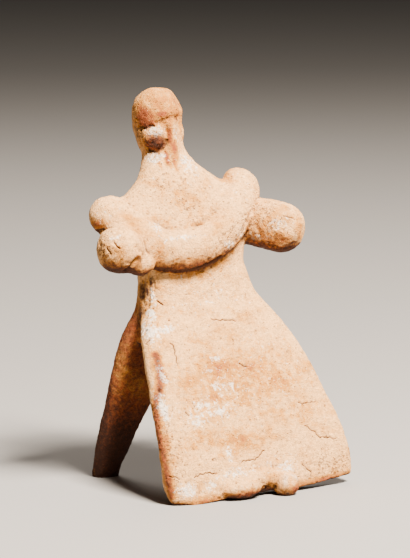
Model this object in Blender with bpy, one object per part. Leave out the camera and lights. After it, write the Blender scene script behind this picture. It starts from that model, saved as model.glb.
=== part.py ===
"""Hand-modelled terracotta figurine: one fired piece that stands on a skirt slab and two rear legs.

Metres, +Z up. The figure faces -Y and its own right side is at -X. Forms are sized in millimetres,
in the figure's own upright frame; the finished body then leans a little to its right, as fired,
is cut flat at the ground and centred over the origin.
"""
import math

import bmesh
import bpy
import numpy as np
from mathutils import Matrix, Vector

MM = 0.001

# Stance: the whole figure leans to its right and is trimmed flat where it meets the ground.
LEAN = math.radians(3.2)
LIFT = 1.7

# Skirt slab: height, half width across, y of the front face, thickness along y.
SKIRT = (
    (0.0, 33.2, -36.0, 6.0),
    (6.0, 33.9, -34.4, 6.2),
    (12.0, 33.2, -32.2, 6.2),
    (24.0, 31.2, -26.3, 6.2),
    (36.0, 28.4, -19.7, 6.6),
    (48.0, 23.6, -11.8, 8.6),
    (55.0, 19.6, -7.4, 10.0),
    (62.0, 18.2, -5.4, 11.0),
)
SKIRT_SQUARENESS = 5.0
SKIRT_CROWN = 0.7

# Hem: how far its edge wanders up and down across the slab, fading out above it.
HEM_WANDER = (
    (-34.0, -0.3),
    (-24.0, -0.9),
    (-12.0, 0.5),
    (0.0, 0.1),
    (14.0, -1.6),
    (34.0, -1.3),
)
HEM_FADE = 16.0

# Rear leg: height, outer x, inner x, y of the middle, thickness along y.
REAR_LEG = (
    (-7.0, 27.4, 21.4, 18.9, 5.4),
    (2.0, 28.6, 19.8, 16.8, 6.4),
    (10.0, 28.5, 16.8, 14.3, 6.8),
    (20.0, 27.5, 12.8, 11.1, 7.4),
    (30.0, 26.4, 7.6, 8.2, 7.8),
    (37.0, 25.3, 2.2, 6.3, 8.4),
    (46.0, 22.8, -2.0, 4.0, 9.4),
    (54.0, 18.8, -2.0, 1.8, 9.6),
    (60.0, 17.8, -2.0, 2.0, 9.6),
)
LEG_SQUARENESS = 3.2

# Trunk, neck and head column, from the web between skirt and legs to the crown:
# height, half width, y of the middle, half depth, squareness.
TRUNK = (
    (43.0, 21.8, -3.4, 5.8, 6.0),
    (48.0, 20.6, -1.6, 6.4, 5.0),
    (54.0, 19.0, -0.4, 6.9, 3.6),
    (62.0, 18.4, 1.0, 6.6, 2.7),
    (70.0, 19.8, 2.1, 7.5, 2.5),
    (77.0, 21.2, 3.6, 8.2, 2.5),
    (83.0, 22.2, 5.5, 7.7, 2.4),
    (87.0, 18.4, 6.9, 6.9, 2.3),
    (91.0, 12.6, 8.8, 6.4, 2.2),
    (94.6, 9.2, 11.1, 6.2, 2.1),
    (98.0, 7.2, 13.0, 6.1, 2.0),
    (101.0, 6.8, 14.5, 6.5, 2.0),
    (106.0, 6.9, 15.3, 6.9, 2.0),
    (112.0, 6.2, 15.6, 6.2, 2.0),
)

# Shoulder behind each end of the pectoral roll: centre on the left, three half sizes.
SHOULDER = ((19.4, 8.4, 79.6), (7.2, 5.8, 7.4))

# Arm stubs by side, right (-1) and left (1): root, centre of the round end, radius of each.
ARMS = {
    -1: ((-20.0, 6.4, 75.0), (-28.4, -4.2, 73.3), 6.6, 7.4),
    1: ((20.0, 6.4, 76.4), (29.2, -5.5, 72.9), 7.0, 8.0),
}

# Fold of clay under the root of the right arm: centre and three half sizes.
ARM_FOLD = ((-22.4, -5.0, 68.6), (5.0, 4.4, 4.0))

# Pectoral roll, laid over the chest from the right shoulder to the left: middle line.
ROLL_LINE = (
    (-28.3, 9.6, 85.9),
    (-25.2, 4.8, 81.8),
    (-21.4, -0.8, 76.4),
    (-13.4, -4.3, 71.0),
    (-3.0, -5.4, 69.8),
    (7.0, -4.6, 72.6),
    (15.6, -1.2, 78.4),
    (21.0, 3.4, 82.8),
    (26.2, 10.6, 88.6),
)
ROLL_HALF_HEIGHT = 5.9
ROLL_HALF_DEPTH = 4.7
ROLL_UPPER_FEATHER = 2.6
ROLL_END_SWELL = 0.12
ROLL_END_LENGTH = 6.4

# Head: a cap over a column, with an applied pellet each side of a pinched ridge.
CAP_CENTRE = (0.0, 15.7, 110.3)
CAP_RADIUS = 7.8
CAP_RIM_DROP = 0.6
CAP_RIM_DROOP = 2.6
CAP_RIM_TURN = math.radians(20)
CAP_RIM_DEPTH = 1.4
CAP_RIM_TUCK = 1.7
PELLET_SPREAD = math.radians(46)
PELLET_HEIGHT = 103.8
PELLET_OUT = {-1: 6.2, 1: 5.2}
PELLET_SIZE = (3.9, 2.7, 4.4)
RIDGE_LINE = (
    (0.0, 9.4, 109.0),
    (0.0, 9.2, 102.0),
    (0.0, 7.2, 94.0),
)
RIDGE_RADIUS = 2.2

# Toe lumps and the lip they stand on, under the hem: centre and three half sizes.
TOES = (
    ((-7.0, -34.8, 2.2), (4.0, 3.8, 3.4)),
    ((5.6, -36.8, 0.8), (4.0, 4.2, 3.6)),
    ((-4.0, -33.8, 3.4), (15.0, 3.2, 3.2)),
)

# Surface: voxel sizes, smoothing passes, and how finely the forms are drawn.
BODY_VOXEL = 0.9
BODY_SMOOTHING = 6
FINISH_VOXEL = 0.65
FINISH_SMOOTHING = 2
TARGET_TRIANGLES = 9200
RING_POINTS = 40
LAYER_STEP = 1.5
WELD_DISTANCE = 0.01
CRISP_ANGLE = math.radians(55)


def clear_scene():
    """Remove every object, so that the figurine is all there is."""
    for thing in list(bpy.data.objects):
        bpy.data.objects.remove(thing, do_unlink=True)


def along(stations, places):
    """Read a table of stations at the given places of its first column, on a smooth curve."""
    table = np.array(stations, dtype=float)
    marks = table[:, 0]
    slopes = np.gradient(table[:, 1:], marks, axis=0)
    rows = []
    for place in places:
        last = len(marks) - 2
        index = int(np.clip(np.searchsorted(marks, place, side="right") - 1, 0, last))
        span = marks[index + 1] - marks[index]
        t = (place - marks[index]) / span
        rows.append(
            (2 * t**3 - 3 * t**2 + 1) * table[index, 1:]
            + (t**3 - 2 * t**2 + t) * slopes[index] * span
            + (3 * t**2 - 2 * t**3) * table[index + 1, 1:]
            + (t**3 - t**2) * slopes[index + 1] * span
        )
    return rows


def layers(stations):
    """Each height about LAYER_STEP apart from the first station to the last, with its sizes."""
    low, high = stations[0][0], stations[-1][0]
    heights = np.linspace(low, high, int(round((high - low) / LAYER_STEP)) + 1)
    return zip(heights, along(stations, heights))


def rounded_ring(centre, half_width, half_depth, squareness):
    """A level ring between an ellipse (squareness 2) and a rectangle (a high squareness)."""
    ring = []
    for step in range(RING_POINTS):
        angle = 2 * math.pi * step / RING_POINTS
        across = math.copysign(abs(math.cos(angle)) ** (2 / squareness), math.cos(angle))
        deep = math.copysign(abs(math.sin(angle)) ** (2 / squareness), math.sin(angle))
        ring.append(Vector(centre) + Vector((half_width * across, half_depth * deep, 0.0)))
    return ring


def loft(rings):
    """A closed mesh through rings of equal point counts, fanned shut at both ends."""
    mesh = bmesh.new()
    rows = [[mesh.verts.new(point) for point in ring] for ring in rings]
    count = len(rings[0])
    for low, high in zip(rows, rows[1:]):
        for step in range(count):
            after = (step + 1) % count
            mesh.faces.new((low[step], low[after], high[after], high[step]))
    for row in (rows[0], rows[-1]):
        middle = mesh.verts.new(sum((vert.co for vert in row), Vector()) / count)
        for step in range(count):
            mesh.faces.new((row[step], row[(step + 1) % count], middle))
    bmesh.ops.recalc_face_normals(mesh, faces=mesh.faces)
    return mesh


def skirt_slab():
    """The front slab from the hem to the waist, leaning back, slightly crowned across."""
    rings = []
    for height, (half_width, front, thick) in layers(SKIRT):
        centre = (0.0, front + thick / 2, height)
        ring = rounded_ring(centre, half_width, thick / 2, SKIRT_SQUARENESS)
        fade = max(0.0, 1.0 - height / HEM_FADE)
        for point in ring:
            point.y += SKIRT_CROWN * (point.x / half_width) ** 2
            point.z += fade * along(HEM_WANDER, [point.x])[0][0]
        rings.append(ring)
    return loft(rings)


def rear_leg(side):
    """One rear leg; above the arch the two legs run past the middle and fuse."""
    rings = []
    for height, (outer, inner, middle, thick) in layers(REAR_LEG):
        centre = (side * (outer + inner) / 2, middle, height)
        rings.append(rounded_ring(centre, (outer - inner) / 2, thick / 2, LEG_SQUARENESS))
    return loft(rings)


def trunk():
    """Waist, chest, neck and the column under the cap."""
    rings = []
    for height, (half_width, middle, half_depth, squareness) in layers(TRUNK):
        rings.append(rounded_ring((0.0, middle, height), half_width, half_depth, squareness))
    return loft(rings)


def lump(centre, half_sizes):
    """A ball of clay pressed to an ellipsoid."""
    mesh = bmesh.new()
    bmesh.ops.create_uvsphere(mesh, u_segments=32, v_segments=20, radius=1.0)
    place = Matrix.Translation(centre) @ Matrix.Diagonal((*half_sizes, 1.0))
    bmesh.ops.transform(mesh, matrix=place, verts=mesh.verts)
    return mesh


def shoulder(side):
    """The rounded shoulder that carries the end of the pectoral roll and the arm's root."""
    centre, half_sizes = SHOULDER
    return lump((side * centre[0], *centre[1:]), half_sizes)


def arm_stub(side):
    """A short round arm that points forward, with a half ball at both ends."""
    root, end = Vector(ARMS[side][0]), Vector(ARMS[side][1])
    root_radius, end_radius = ARMS[side][2:]
    reach = (end - root).length
    heading = (end - root).normalized()
    aside = heading.cross(Vector((0.0, 0.0, 1.0))).normalized()
    above = aside.cross(heading)
    rings = []
    for place in np.arange(-0.98 * root_radius, reach + 0.98 * end_radius, LAYER_STEP / 2):
        share = min(1.0, max(0.0, place / reach))
        full = root_radius + (end_radius - root_radius) * share
        past = max(-place, place - reach, 0.0)
        radius = math.sqrt(full**2 - past**2)
        ring = []
        for step in range(RING_POINTS):
            angle = 2 * math.pi * step / RING_POINTS
            spoke = aside * math.cos(angle) + above * math.sin(angle)
            ring.append(root + heading * place + spoke * radius)
        rings.append(ring)
    return loft(rings)


def roll_of_clay(line, half_height, half_depth, end_length, end_swell=0.0, feather=0.0):
    """A flattened roll on a smooth line: its ends swell, its upper edge can be drawn out thinner."""
    points = np.array(line, dtype=float)
    spans = np.linalg.norm(np.diff(points, axis=0), axis=1)
    marks = np.concatenate(([0.0], np.cumsum(spans)))
    length = marks[-1]
    places = end_length * (1 - np.cos(np.linspace(0.0, math.pi / 2, 7)))
    middle = np.linspace(end_length, length - end_length, int(length / LAYER_STEP))
    places = np.concatenate((places[:-1], middle, (length - places[:-1])[::-1]))
    path = [Vector(point) for point in along(np.column_stack((marks, points)), places)]
    rings = []
    for index, place in enumerate(places):
        heading = (path[min(index + 1, len(path) - 1)] - path[max(index - 1, 0)]).normalized()
        outward = Vector((0.0, -1.0, 0.0))
        outward = (outward - heading * outward.dot(heading)).normalized()
        upward = outward.cross(heading)
        from_end = min(place, length - place)
        rounding = math.sqrt(max(0.01, 1 - max(0.0, 1 - from_end / end_length) ** 2))
        towards_end = (1 - 2 * from_end / length) ** 2
        size = rounding * (1 + end_swell * towards_end)
        drawn_out = feather * (1 - towards_end)
        ring = []
        for step in range(RING_POINTS):
            angle = 2 * math.pi * step / RING_POINTS
            rise = math.cos(angle)
            lift = upward * (half_height * size * rise + drawn_out * max(0.0, rise))
            bulge = outward * (half_depth * size * math.sin(angle))
            ring.append(path[index] + lift + bulge)
        rings.append(ring)
    return loft(rings)


def cap():
    """The dome over the head; its rim overhangs the face, highest in front."""
    centre = Vector(CAP_CENTRE)
    rings = []
    for step in range(5):
        rise = step / 4
        ring = rounded_ring(centre, *[CAP_RADIUS - CAP_RIM_TUCK * (1 - rise) ** 2] * 2, 2.0)
        for point in ring:
            angle = math.atan2(point.y - centre.y, point.x) + math.pi / 2 - CAP_RIM_TURN
            droop = CAP_RIM_DROP + CAP_RIM_DROOP * (1 - math.cos(angle))
            point.z -= droop + CAP_RIM_DEPTH * (1 - rise)
        rings.append(ring)
    for step in range(12):
        angle = 0.5 * math.pi * step / 12
        height = Vector((0.0, 0.0, CAP_RADIUS * math.sin(angle)))
        radius = CAP_RADIUS * math.cos(angle)
        rings.append(rounded_ring(centre + height, radius, radius, 2.0))
    return loft(rings)


def pellet(side):
    """One applied pellet beside the ridge of the face."""
    angle = side * PELLET_SPREAD
    x = PELLET_OUT[side] * math.sin(angle)
    y = CAP_CENTRE[1] - PELLET_OUT[side] * math.cos(angle)
    mesh = lump((0.0, 0.0, 0.0), PELLET_SIZE)
    place = Matrix.Translation((x, y, PELLET_HEIGHT)) @ Matrix.Rotation(angle, 4, "Z")
    bmesh.ops.transform(mesh, matrix=place, verts=mesh.verts)
    return mesh


def ordered_copy(data):
    """A bmesh whose edges follow the faces' order, so that later sums run the same way each time."""
    mesh = bmesh.new()
    verts = [mesh.verts.new(vert.co) for vert in data.vertices]
    for polygon in data.polygons:
        mesh.faces.new([verts[index] for index in polygon.vertices])
    return mesh


def with_modifier(mesh, kind, **settings):
    """A new bmesh: the given one with one modifier applied."""
    data = bpy.data.meshes.new("clay")
    mesh.to_mesh(data)
    mesh.free()
    holder = bpy.data.objects.new("clay", data)
    bpy.context.collection.objects.link(holder)
    modifier = holder.modifiers.new("work", kind)
    for name, value in settings.items():
        setattr(modifier, name, value)
    graph = bpy.context.evaluated_depsgraph_get()
    worked = bpy.data.meshes.new_from_object(holder.evaluated_get(graph))
    result = ordered_copy(worked)
    bpy.data.objects.remove(holder, do_unlink=True)
    bpy.data.meshes.remove(data)
    bpy.data.meshes.remove(worked)
    return result


def press_together(forms, voxel, smoothing):
    """Fuse closed forms into one skin and soften the joints between them."""
    whole = bmesh.new()
    for form in forms:
        data = bpy.data.meshes.new("form")
        form.to_mesh(data)
        form.free()
        whole.from_mesh(data)
        bpy.data.meshes.remove(data)
    whole = with_modifier(whole, "REMESH", mode="VOXEL", voxel_size=voxel)
    for _ in range(smoothing):
        bmesh.ops.smooth_vert(
            whole, verts=whole.verts, factor=0.5, use_axis_x=True, use_axis_y=True, use_axis_z=True
        )
    return whole


def thin_out(mesh, target):
    """Collapse the skin to about the target number of triangles."""
    bmesh.ops.triangulate(mesh, faces=mesh.faces)
    return with_modifier(mesh, "DECIMATE", ratio=min(1.0, target / len(mesh.faces)))


def centre_over_origin(mesh):
    """Shift the skin level, until the middle of its width and depth is over the origin."""
    for axis in (0, 1):
        places = [vert.co[axis] for vert in mesh.verts]
        middle = (min(places) + max(places)) / 2
        for vert in mesh.verts:
            vert.co[axis] -= middle


def stand_up(mesh):
    """Turn the skin to metres and lean it, cut it flat where it meets the ground, and centre it."""
    lean = Matrix.Rotation(-LEAN, 4, "Y")
    place = Matrix.Translation((0.0, 0.0, LIFT * MM)) @ lean @ Matrix.Scale(MM, 4)
    bmesh.ops.transform(mesh, matrix=place, verts=mesh.verts)
    everything = mesh.verts[:] + mesh.edges[:] + mesh.faces[:]
    bmesh.ops.bisect_plane(mesh, geom=everything, plane_co=(0, 0, 0), plane_no=(0, 0, 1), clear_inner=True)
    bmesh.ops.remove_doubles(mesh, verts=mesh.verts, dist=WELD_DISTANCE * MM)
    bmesh.ops.holes_fill(mesh, edges=[edge for edge in mesh.edges if edge.is_boundary])
    bmesh.ops.triangulate(mesh, faces=mesh.faces)
    bmesh.ops.recalc_face_normals(mesh, faces=mesh.faces)
    centre_over_origin(mesh)
    return mesh


def shade(mesh):
    """Smooth clay everywhere, with a crisp edge only around the flats that touch the ground."""
    for face in mesh.faces:
        face.smooth = True
    for edge in mesh.edges:
        edge.smooth = edge.calc_face_angle() < CRISP_ANGLE


def terracotta():
    """Fired clay: matt, pale orange."""
    clay = bpy.data.materials.new("terracotta")
    clay.use_nodes = True
    shader = clay.node_tree.nodes["Principled BSDF"]
    shader.inputs["Base Color"].default_value = (0.62, 0.40, 0.26, 1.0)
    shader.inputs["Roughness"].default_value = 0.9
    shader.inputs["Metallic"].default_value = 0.0
    return clay


def figurine():
    """The whole figurine as one named object."""
    pressed_on = [lump(centre, half_sizes) for centre, half_sizes in (ARM_FOLD, *TOES)]
    limbs = [make(side) for make in (rear_leg, shoulder, arm_stub) for side in (-1, 1)]
    body = press_together([skirt_slab(), trunk()] + limbs + pressed_on, BODY_VOXEL, BODY_SMOOTHING)
    pectoral = roll_of_clay(
        ROLL_LINE, ROLL_HALF_HEIGHT, ROLL_HALF_DEPTH, ROLL_END_LENGTH, ROLL_END_SWELL, ROLL_UPPER_FEATHER
    )
    ridge = roll_of_clay(RIDGE_LINE, RIDGE_RADIUS, RIDGE_RADIUS, RIDGE_RADIUS)
    applied = [pectoral, cap(), pellet(-1), pellet(1), ridge]
    skin = press_together([body] + applied, FINISH_VOXEL, FINISH_SMOOTHING)
    skin = stand_up(thin_out(skin, TARGET_TRIANGLES))
    shade(skin)
    mesh = bpy.data.meshes.new("figurine")
    skin.to_mesh(mesh)
    skin.free()
    mesh.materials.append(terracotta())
    figure = bpy.data.objects.new("figurine", mesh)
    bpy.context.collection.objects.link(figure)
    return figure


clear_scene()
figurine()
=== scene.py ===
"""Looks of a small terracotta figurine: one piece, pressed and pinched by hand, then fired.

Forms and marks are sized in millimetres, in the figure's own upright frame: it faces -Y, its own
right side is at -X. The finished skin is leaned, cut flat at the ground and centred, in metres.
"""
import math

import bmesh
import bpy
import numpy as np
from mathutils import Matrix, Vector
from mathutils.bvhtree import BVHTree
from mathutils.kdtree import KDTree


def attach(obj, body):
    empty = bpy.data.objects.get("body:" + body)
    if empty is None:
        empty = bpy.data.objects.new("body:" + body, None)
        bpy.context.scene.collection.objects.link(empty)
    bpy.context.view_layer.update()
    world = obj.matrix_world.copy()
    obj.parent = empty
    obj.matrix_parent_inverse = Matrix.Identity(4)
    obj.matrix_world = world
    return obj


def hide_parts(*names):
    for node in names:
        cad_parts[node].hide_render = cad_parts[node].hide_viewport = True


MM = 0.001
UP = Vector((0.0, 0.0, 1.0))

# Stance: the whole figure leans to its right and is trimmed flat where it meets the ground.
LEAN = math.radians(3.2)
LIFT = 1.7

# Skirt slab: height, half width across, y of the front face, thickness along y.
SKIRT = (
    (0.0, 33.2, -36.0, 6.0),
    (6.0, 33.9, -34.4, 6.2),
    (12.0, 33.2, -32.2, 6.2),
    (24.0, 31.2, -26.3, 6.2),
    (36.0, 28.4, -19.7, 6.6),
    (48.0, 23.6, -11.8, 8.6),
    (55.0, 19.6, -7.4, 10.0),
    (62.0, 18.2, -5.4, 11.0),
)
SKIRT_SQUARENESS = 5.0
SKIRT_CROWN = 0.7

# Hem: how far its edge wanders up and down across the slab, fading out above it.
HEM_WANDER = (
    (-34.0, -0.3),
    (-24.0, -0.9),
    (-12.0, 0.5),
    (0.0, 0.1),
    (14.0, -1.6),
    (34.0, -1.3),
)
HEM_FADE = 16.0

# Rear leg: height, outer x, inner x, y of the middle, thickness along y.
REAR_LEG = (
    (-7.0, 27.4, 21.4, 18.9, 5.4),
    (2.0, 28.6, 19.8, 16.8, 6.4),
    (10.0, 28.5, 16.8, 14.3, 6.8),
    (20.0, 27.5, 12.8, 11.1, 7.4),
    (30.0, 26.4, 7.6, 8.2, 7.8),
    (37.0, 25.3, 2.2, 6.3, 8.4),
    (46.0, 22.8, -2.0, 4.0, 9.4),
    (54.0, 18.8, -2.0, 1.8, 9.6),
    (60.0, 17.8, -2.0, 2.0, 9.6),
)
LEG_SQUARENESS = 3.2

# Trunk, neck and head column: height, half width, y of the middle, half depth, squareness.
TRUNK = (
    (43.0, 21.8, -3.4, 5.8, 6.0),
    (48.0, 20.6, -1.6, 6.4, 5.0),
    (54.0, 19.0, -0.4, 6.9, 3.6),
    (62.0, 18.4, 1.0, 6.6, 2.7),
    (70.0, 19.8, 2.1, 7.5, 2.5),
    (77.0, 21.2, 3.6, 8.2, 2.5),
    (83.0, 22.2, 5.5, 7.7, 2.4),
    (87.0, 18.4, 6.9, 6.9, 2.3),
    (91.0, 12.6, 8.8, 6.4, 2.2),
    (94.6, 9.2, 11.1, 6.2, 2.1),
    (98.0, 7.2, 13.0, 6.1, 2.0),
    (101.0, 7.2, 14.9, 7.0, 2.0),
    (106.0, 7.5, 15.5, 7.4, 2.0),
    (112.0, 6.2, 15.6, 6.2, 2.0),
)

# Shoulder behind each end of the pectoral roll: centre on the left, three half sizes.
SHOULDER = ((19.4, 8.4, 79.6), (7.2, 5.8, 7.4))

# Arm stubs by side, right (-1) and left (1): root, centre of the round end, radius of each.
ARMS = {
    -1: ((-20.0, 6.4, 75.0), (-28.4, -4.2, 73.3), 6.6, 7.4),
    1: ((20.0, 6.4, 76.4), (29.2, -5.5, 72.9), 7.0, 8.0),
}
# How much of an end's radius is drawn before the arm is fanned shut.
ARM_END_SHARE = 0.98

# Fold of clay under the root of the right arm: centre and three half sizes.
ARM_FOLD = ((-22.4, -5.0, 68.6), (5.0, 4.4, 4.0))

# Pectoral roll, laid over the chest from the right shoulder to the left: middle line.
ROLL_LINE = (
    (-28.3, 9.6, 85.9),
    (-25.2, 4.8, 81.8),
    (-21.4, -0.8, 76.4),
    (-13.4, -4.3, 71.0),
    (-3.0, -5.4, 69.8),
    (7.0, -4.6, 72.6),
    (15.6, -1.2, 78.4),
    (21.0, 3.4, 82.8),
    (26.2, 10.6, 88.6),
)
ROLL_HALF_HEIGHT = 5.9
ROLL_HALF_DEPTH = 4.7
ROLL_UPPER_FEATHER = 0.8
ROLL_END_SWELL = 0.12
ROLL_END_LENGTH = 6.4

# Where a thumb wiped an edge smooth: its line, how far it reached and how many times it passed.
WIPED = (
    (
        (
            (-24.0, 2.0, 86.4), (-19.6, -2.4, 81.6), (-14.6, -5.8, 78.6), (-9.4, -6.0, 77.4),
            (-3.4, -5.6, 77.8), (3.4, -3.2, 80.4), (9.6, 0.4, 84.8), (14.0, 4.0, 89.0),
        ),
        4.2, 60,
    ),
    (
        (
            (5.0, 9.8, 108.9), (7.2, 14.0, 107.2), (7.2, 17.6, 106.2), (5.0, 21.2, 104.6),
            (0.0, 22.8, 103.6), (-4.6, 21.4, 103.6), (-6.6, 19.2, 103.9), (-7.4, 16.6, 104.8),
        ),
        2.8, 60,
    ),
    (
        (
            (-24.6, -12.6, 43.0), (-28.2, -20.0, 30.0), (-31.6, -26.6, 18.0), (-33.2, -31.4, 8.0),
            (-33.0, -34.0, 1.0), (-30.4, -35.4, -0.6),
        ),
        2.6, 24,
    ),
    (
        (
            (33.2, -31.0, 9.0), (33.6, -33.4, 3.0), (33.0, -35.0, -1.2), (30.0, -35.8, -2.2),
        ),
        2.6, 30,
    ),
    (
        (
            (-33.4, -33.2, 3.0), (-32.6, -34.8, 0.2), (-30.4, -35.4, -1.0),
        ),
        4.0, 60,
    ),
    (
        (
            (-14.6, -35.2, 5.2), (-8.4, -36.2, 5.4), (-2.6, -35.8, 4.8), (3.4, -37.8, 5.2),
            (6.4, -37.8, 5.0),
        ),
        1.8, 24,
    ),
)
# Places along a wiped line, for each of its corners.
WIPE_MARKS = 12

# Head: a cap over a column, with an applied pellet each side of a pinched ridge.
CAP_CENTRE = (0.0, 15.7, 110.3)
CAP_RADIUS = 7.8
CAP_RIM_DROP = 0.6
CAP_RIM_DROOP = 2.6
CAP_RIM_TURN = math.radians(20)
CAP_RIM_DEPTH = 1.4
CAP_RIM_TUCK = 1.7
PELLET_SPREAD = math.radians(46)
PELLET_HEIGHT = 103.8
PELLET_OUT = {-1: 6.6, 1: 5.2}
PELLET_SIZE = (3.8, 2.8, 4.6)
RIDGE_LINE = (
    (0.0, 9.4, 109.0),
    (0.0, 9.2, 102.0),
    (0.0, 7.2, 94.0),
)
RIDGE_RADIUS = 2.2

# Toe lumps, and the lip of the hem behind them: centre and three half sizes.
TOES = (
    ((-9.4, -35.4, 2.0), (6.6, 3.6, 3.0)),
    ((5.4, -37.0, 1.2), (3.9, 4.2, 3.8)),
)
HEM_LIP = ((-4.0, -33.8, 3.4), (15.0, 3.2, 3.2))

# How finely the forms are drawn and the skin is meshed.
RING_POINTS = 64
RING_ANGLES = [2 * math.pi * step / RING_POINTS for step in range(RING_POINTS)]
LAYER_STEP = 0.8
LUMP_SEGMENTS = 48
LUMP_RINGS = 32
ROLL_END_RINGS = 9
ROLL_TIP_SHARE = 0.01
CAP_RIM_RINGS = 7
CAP_DOME_RINGS = 20
BODY_VOXEL = 0.6
BODY_SMOOTHING = 12
FINISH_VOXEL = 0.36
FINISH_SMOOTHING = 5
TARGET_TRIANGLES = 150000
WELD_DISTANCE = 0.01


def along(stations, places):
    """Read a table of stations at the given places of its first column, on a smooth curve."""
    table = np.array(stations, dtype=float)
    marks = table[:, 0]
    slopes = np.gradient(table[:, 1:], marks, axis=0)
    rows = []
    for place in places:
        last = len(marks) - 2
        index = int(np.clip(np.searchsorted(marks, place, side="right") - 1, 0, last))
        span = marks[index + 1] - marks[index]
        t = (place - marks[index]) / span
        rows.append(
            (2 * t**3 - 3 * t**2 + 1) * table[index, 1:]
            + (t**3 - 2 * t**2 + t) * slopes[index] * span
            + (3 * t**2 - 2 * t**3) * table[index + 1, 1:]
            + (t**3 - t**2) * slopes[index + 1] * span
        )
    return rows


def layers(stations):
    """Each height about LAYER_STEP apart from the first station to the last, with its sizes."""
    low, high = stations[0][0], stations[-1][0]
    heights = np.linspace(low, high, int(round((high - low) / LAYER_STEP)) + 1)
    return zip(heights, along(stations, heights))


def rounded_ring(centre, half_width, half_depth, squareness):
    """A level ring between an ellipse (squareness 2) and a rectangle (a high squareness)."""
    ring = []
    for angle in RING_ANGLES:
        across = math.copysign(abs(math.cos(angle)) ** (2 / squareness), math.cos(angle))
        deep = math.copysign(abs(math.sin(angle)) ** (2 / squareness), math.sin(angle))
        ring.append(Vector(centre) + Vector((half_width * across, half_depth * deep, 0.0)))
    return ring


def loft(rings):
    """A closed mesh through rings of equal point counts, fanned shut at both ends."""
    mesh = bmesh.new()
    rows = [[mesh.verts.new(point) for point in ring] for ring in rings]
    count = len(rings[0])
    for low, high in zip(rows, rows[1:]):
        for step in range(count):
            after = (step + 1) % count
            mesh.faces.new((low[step], low[after], high[after], high[step]))
    for row in (rows[0], rows[-1]):
        middle = mesh.verts.new(sum((vert.co for vert in row), Vector()) / count)
        for step in range(count):
            mesh.faces.new((row[step], row[(step + 1) % count], middle))
    bmesh.ops.recalc_face_normals(mesh, faces=mesh.faces)
    return mesh


def skirt_slab():
    """The front slab from the hem to the waist, leaning back, slightly crowned across."""
    rings = []
    for height, (half_width, front, thick) in layers(SKIRT):
        centre = (0.0, front + thick / 2, height)
        ring = rounded_ring(centre, half_width, thick / 2, SKIRT_SQUARENESS)
        fade = max(0.0, 1.0 - height / HEM_FADE)
        for point in ring:
            point.y += SKIRT_CROWN * (point.x / half_width) ** 2
            point.z += fade * along(HEM_WANDER, [point.x])[0][0]
        rings.append(ring)
    return loft(rings)


def rear_leg(side):
    """One rear leg; above the arch the two legs run past the middle and fuse."""
    rings = []
    for height, (outer, inner, middle, thick) in layers(REAR_LEG):
        centre = (side * (outer + inner) / 2, middle, height)
        rings.append(rounded_ring(centre, (outer - inner) / 2, thick / 2, LEG_SQUARENESS))
    return loft(rings)


def trunk():
    """Waist, chest, neck and the column under the cap."""
    rings = []
    for height, (half_width, middle, half_depth, squareness) in layers(TRUNK):
        rings.append(rounded_ring((0.0, middle, height), half_width, half_depth, squareness))
    return loft(rings)


def lump(centre, half_sizes):
    """A ball of clay pressed to an ellipsoid."""
    mesh = bmesh.new()
    bmesh.ops.create_uvsphere(mesh, u_segments=LUMP_SEGMENTS, v_segments=LUMP_RINGS, radius=1.0)
    place = Matrix.Translation(centre) @ Matrix.Diagonal((*half_sizes, 1.0))
    bmesh.ops.transform(mesh, matrix=place, verts=mesh.verts)
    return mesh


def shoulder(side):
    """The rounded shoulder that carries the end of the pectoral roll and the arm's root."""
    centre, half_sizes = SHOULDER
    return lump((side * centre[0], *centre[1:]), half_sizes)


def arm_stub(side):
    """A short round arm that points forward, with a half ball at both ends."""
    root, end = Vector(ARMS[side][0]), Vector(ARMS[side][1])
    root_radius, end_radius = ARMS[side][2:]
    reach = (end - root).length
    heading = (end - root).normalized()
    aside = heading.cross(UP).normalized()
    above = aside.cross(heading)
    rings = []
    low, high = -ARM_END_SHARE * root_radius, reach + ARM_END_SHARE * end_radius
    for place in np.arange(low, high, LAYER_STEP / 2):
        share = min(1.0, max(0.0, place / reach))
        full = root_radius + (end_radius - root_radius) * share
        past = max(-place, place - reach, 0.0)
        radius = math.sqrt(full**2 - past**2)
        ring = []
        for angle in RING_ANGLES:
            spoke = aside * math.cos(angle) + above * math.sin(angle)
            ring.append(root + heading * place + spoke * radius)
        rings.append(ring)
    return loft(rings)


def roll_of_clay(line, half_height, half_depth, end_length, end_swell=0.0, feather=0.0):
    """A flattened roll on a smooth line: its ends swell, its upper edge can be drawn out thinner."""
    points = np.array(line, dtype=float)
    spans = np.linalg.norm(np.diff(points, axis=0), axis=1)
    marks = np.concatenate(([0.0], np.cumsum(spans)))
    length = marks[-1]
    places = end_length * (1 - np.cos(np.linspace(0.0, math.pi / 2, ROLL_END_RINGS)))
    middle = np.linspace(end_length, length - end_length, int(length / LAYER_STEP))
    places = np.concatenate((places[:-1], middle, (length - places[:-1])[::-1]))
    path = [Vector(point) for point in along(np.column_stack((marks, points)), places)]
    rings = []
    for index, place in enumerate(places):
        heading = (path[min(index + 1, len(path) - 1)] - path[max(index - 1, 0)]).normalized()
        outward = Vector((0.0, -1.0, 0.0))
        outward = (outward - heading * outward.dot(heading)).normalized()
        upward = outward.cross(heading)
        from_end = min(place, length - place)
        rounding = math.sqrt(max(ROLL_TIP_SHARE, 1 - max(0.0, 1 - from_end / end_length) ** 2))
        towards_end = (1 - 2 * from_end / length) ** 2
        size = rounding * (1 + end_swell * towards_end)
        drawn_out = feather * (1 - towards_end)
        ring = []
        for angle in RING_ANGLES:
            rise = math.cos(angle)
            lift = upward * (half_height * size * rise + drawn_out * max(0.0, rise))
            bulge = outward * (half_depth * size * math.sin(angle))
            ring.append(path[index] + lift + bulge)
        rings.append(ring)
    return loft(rings)


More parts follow.
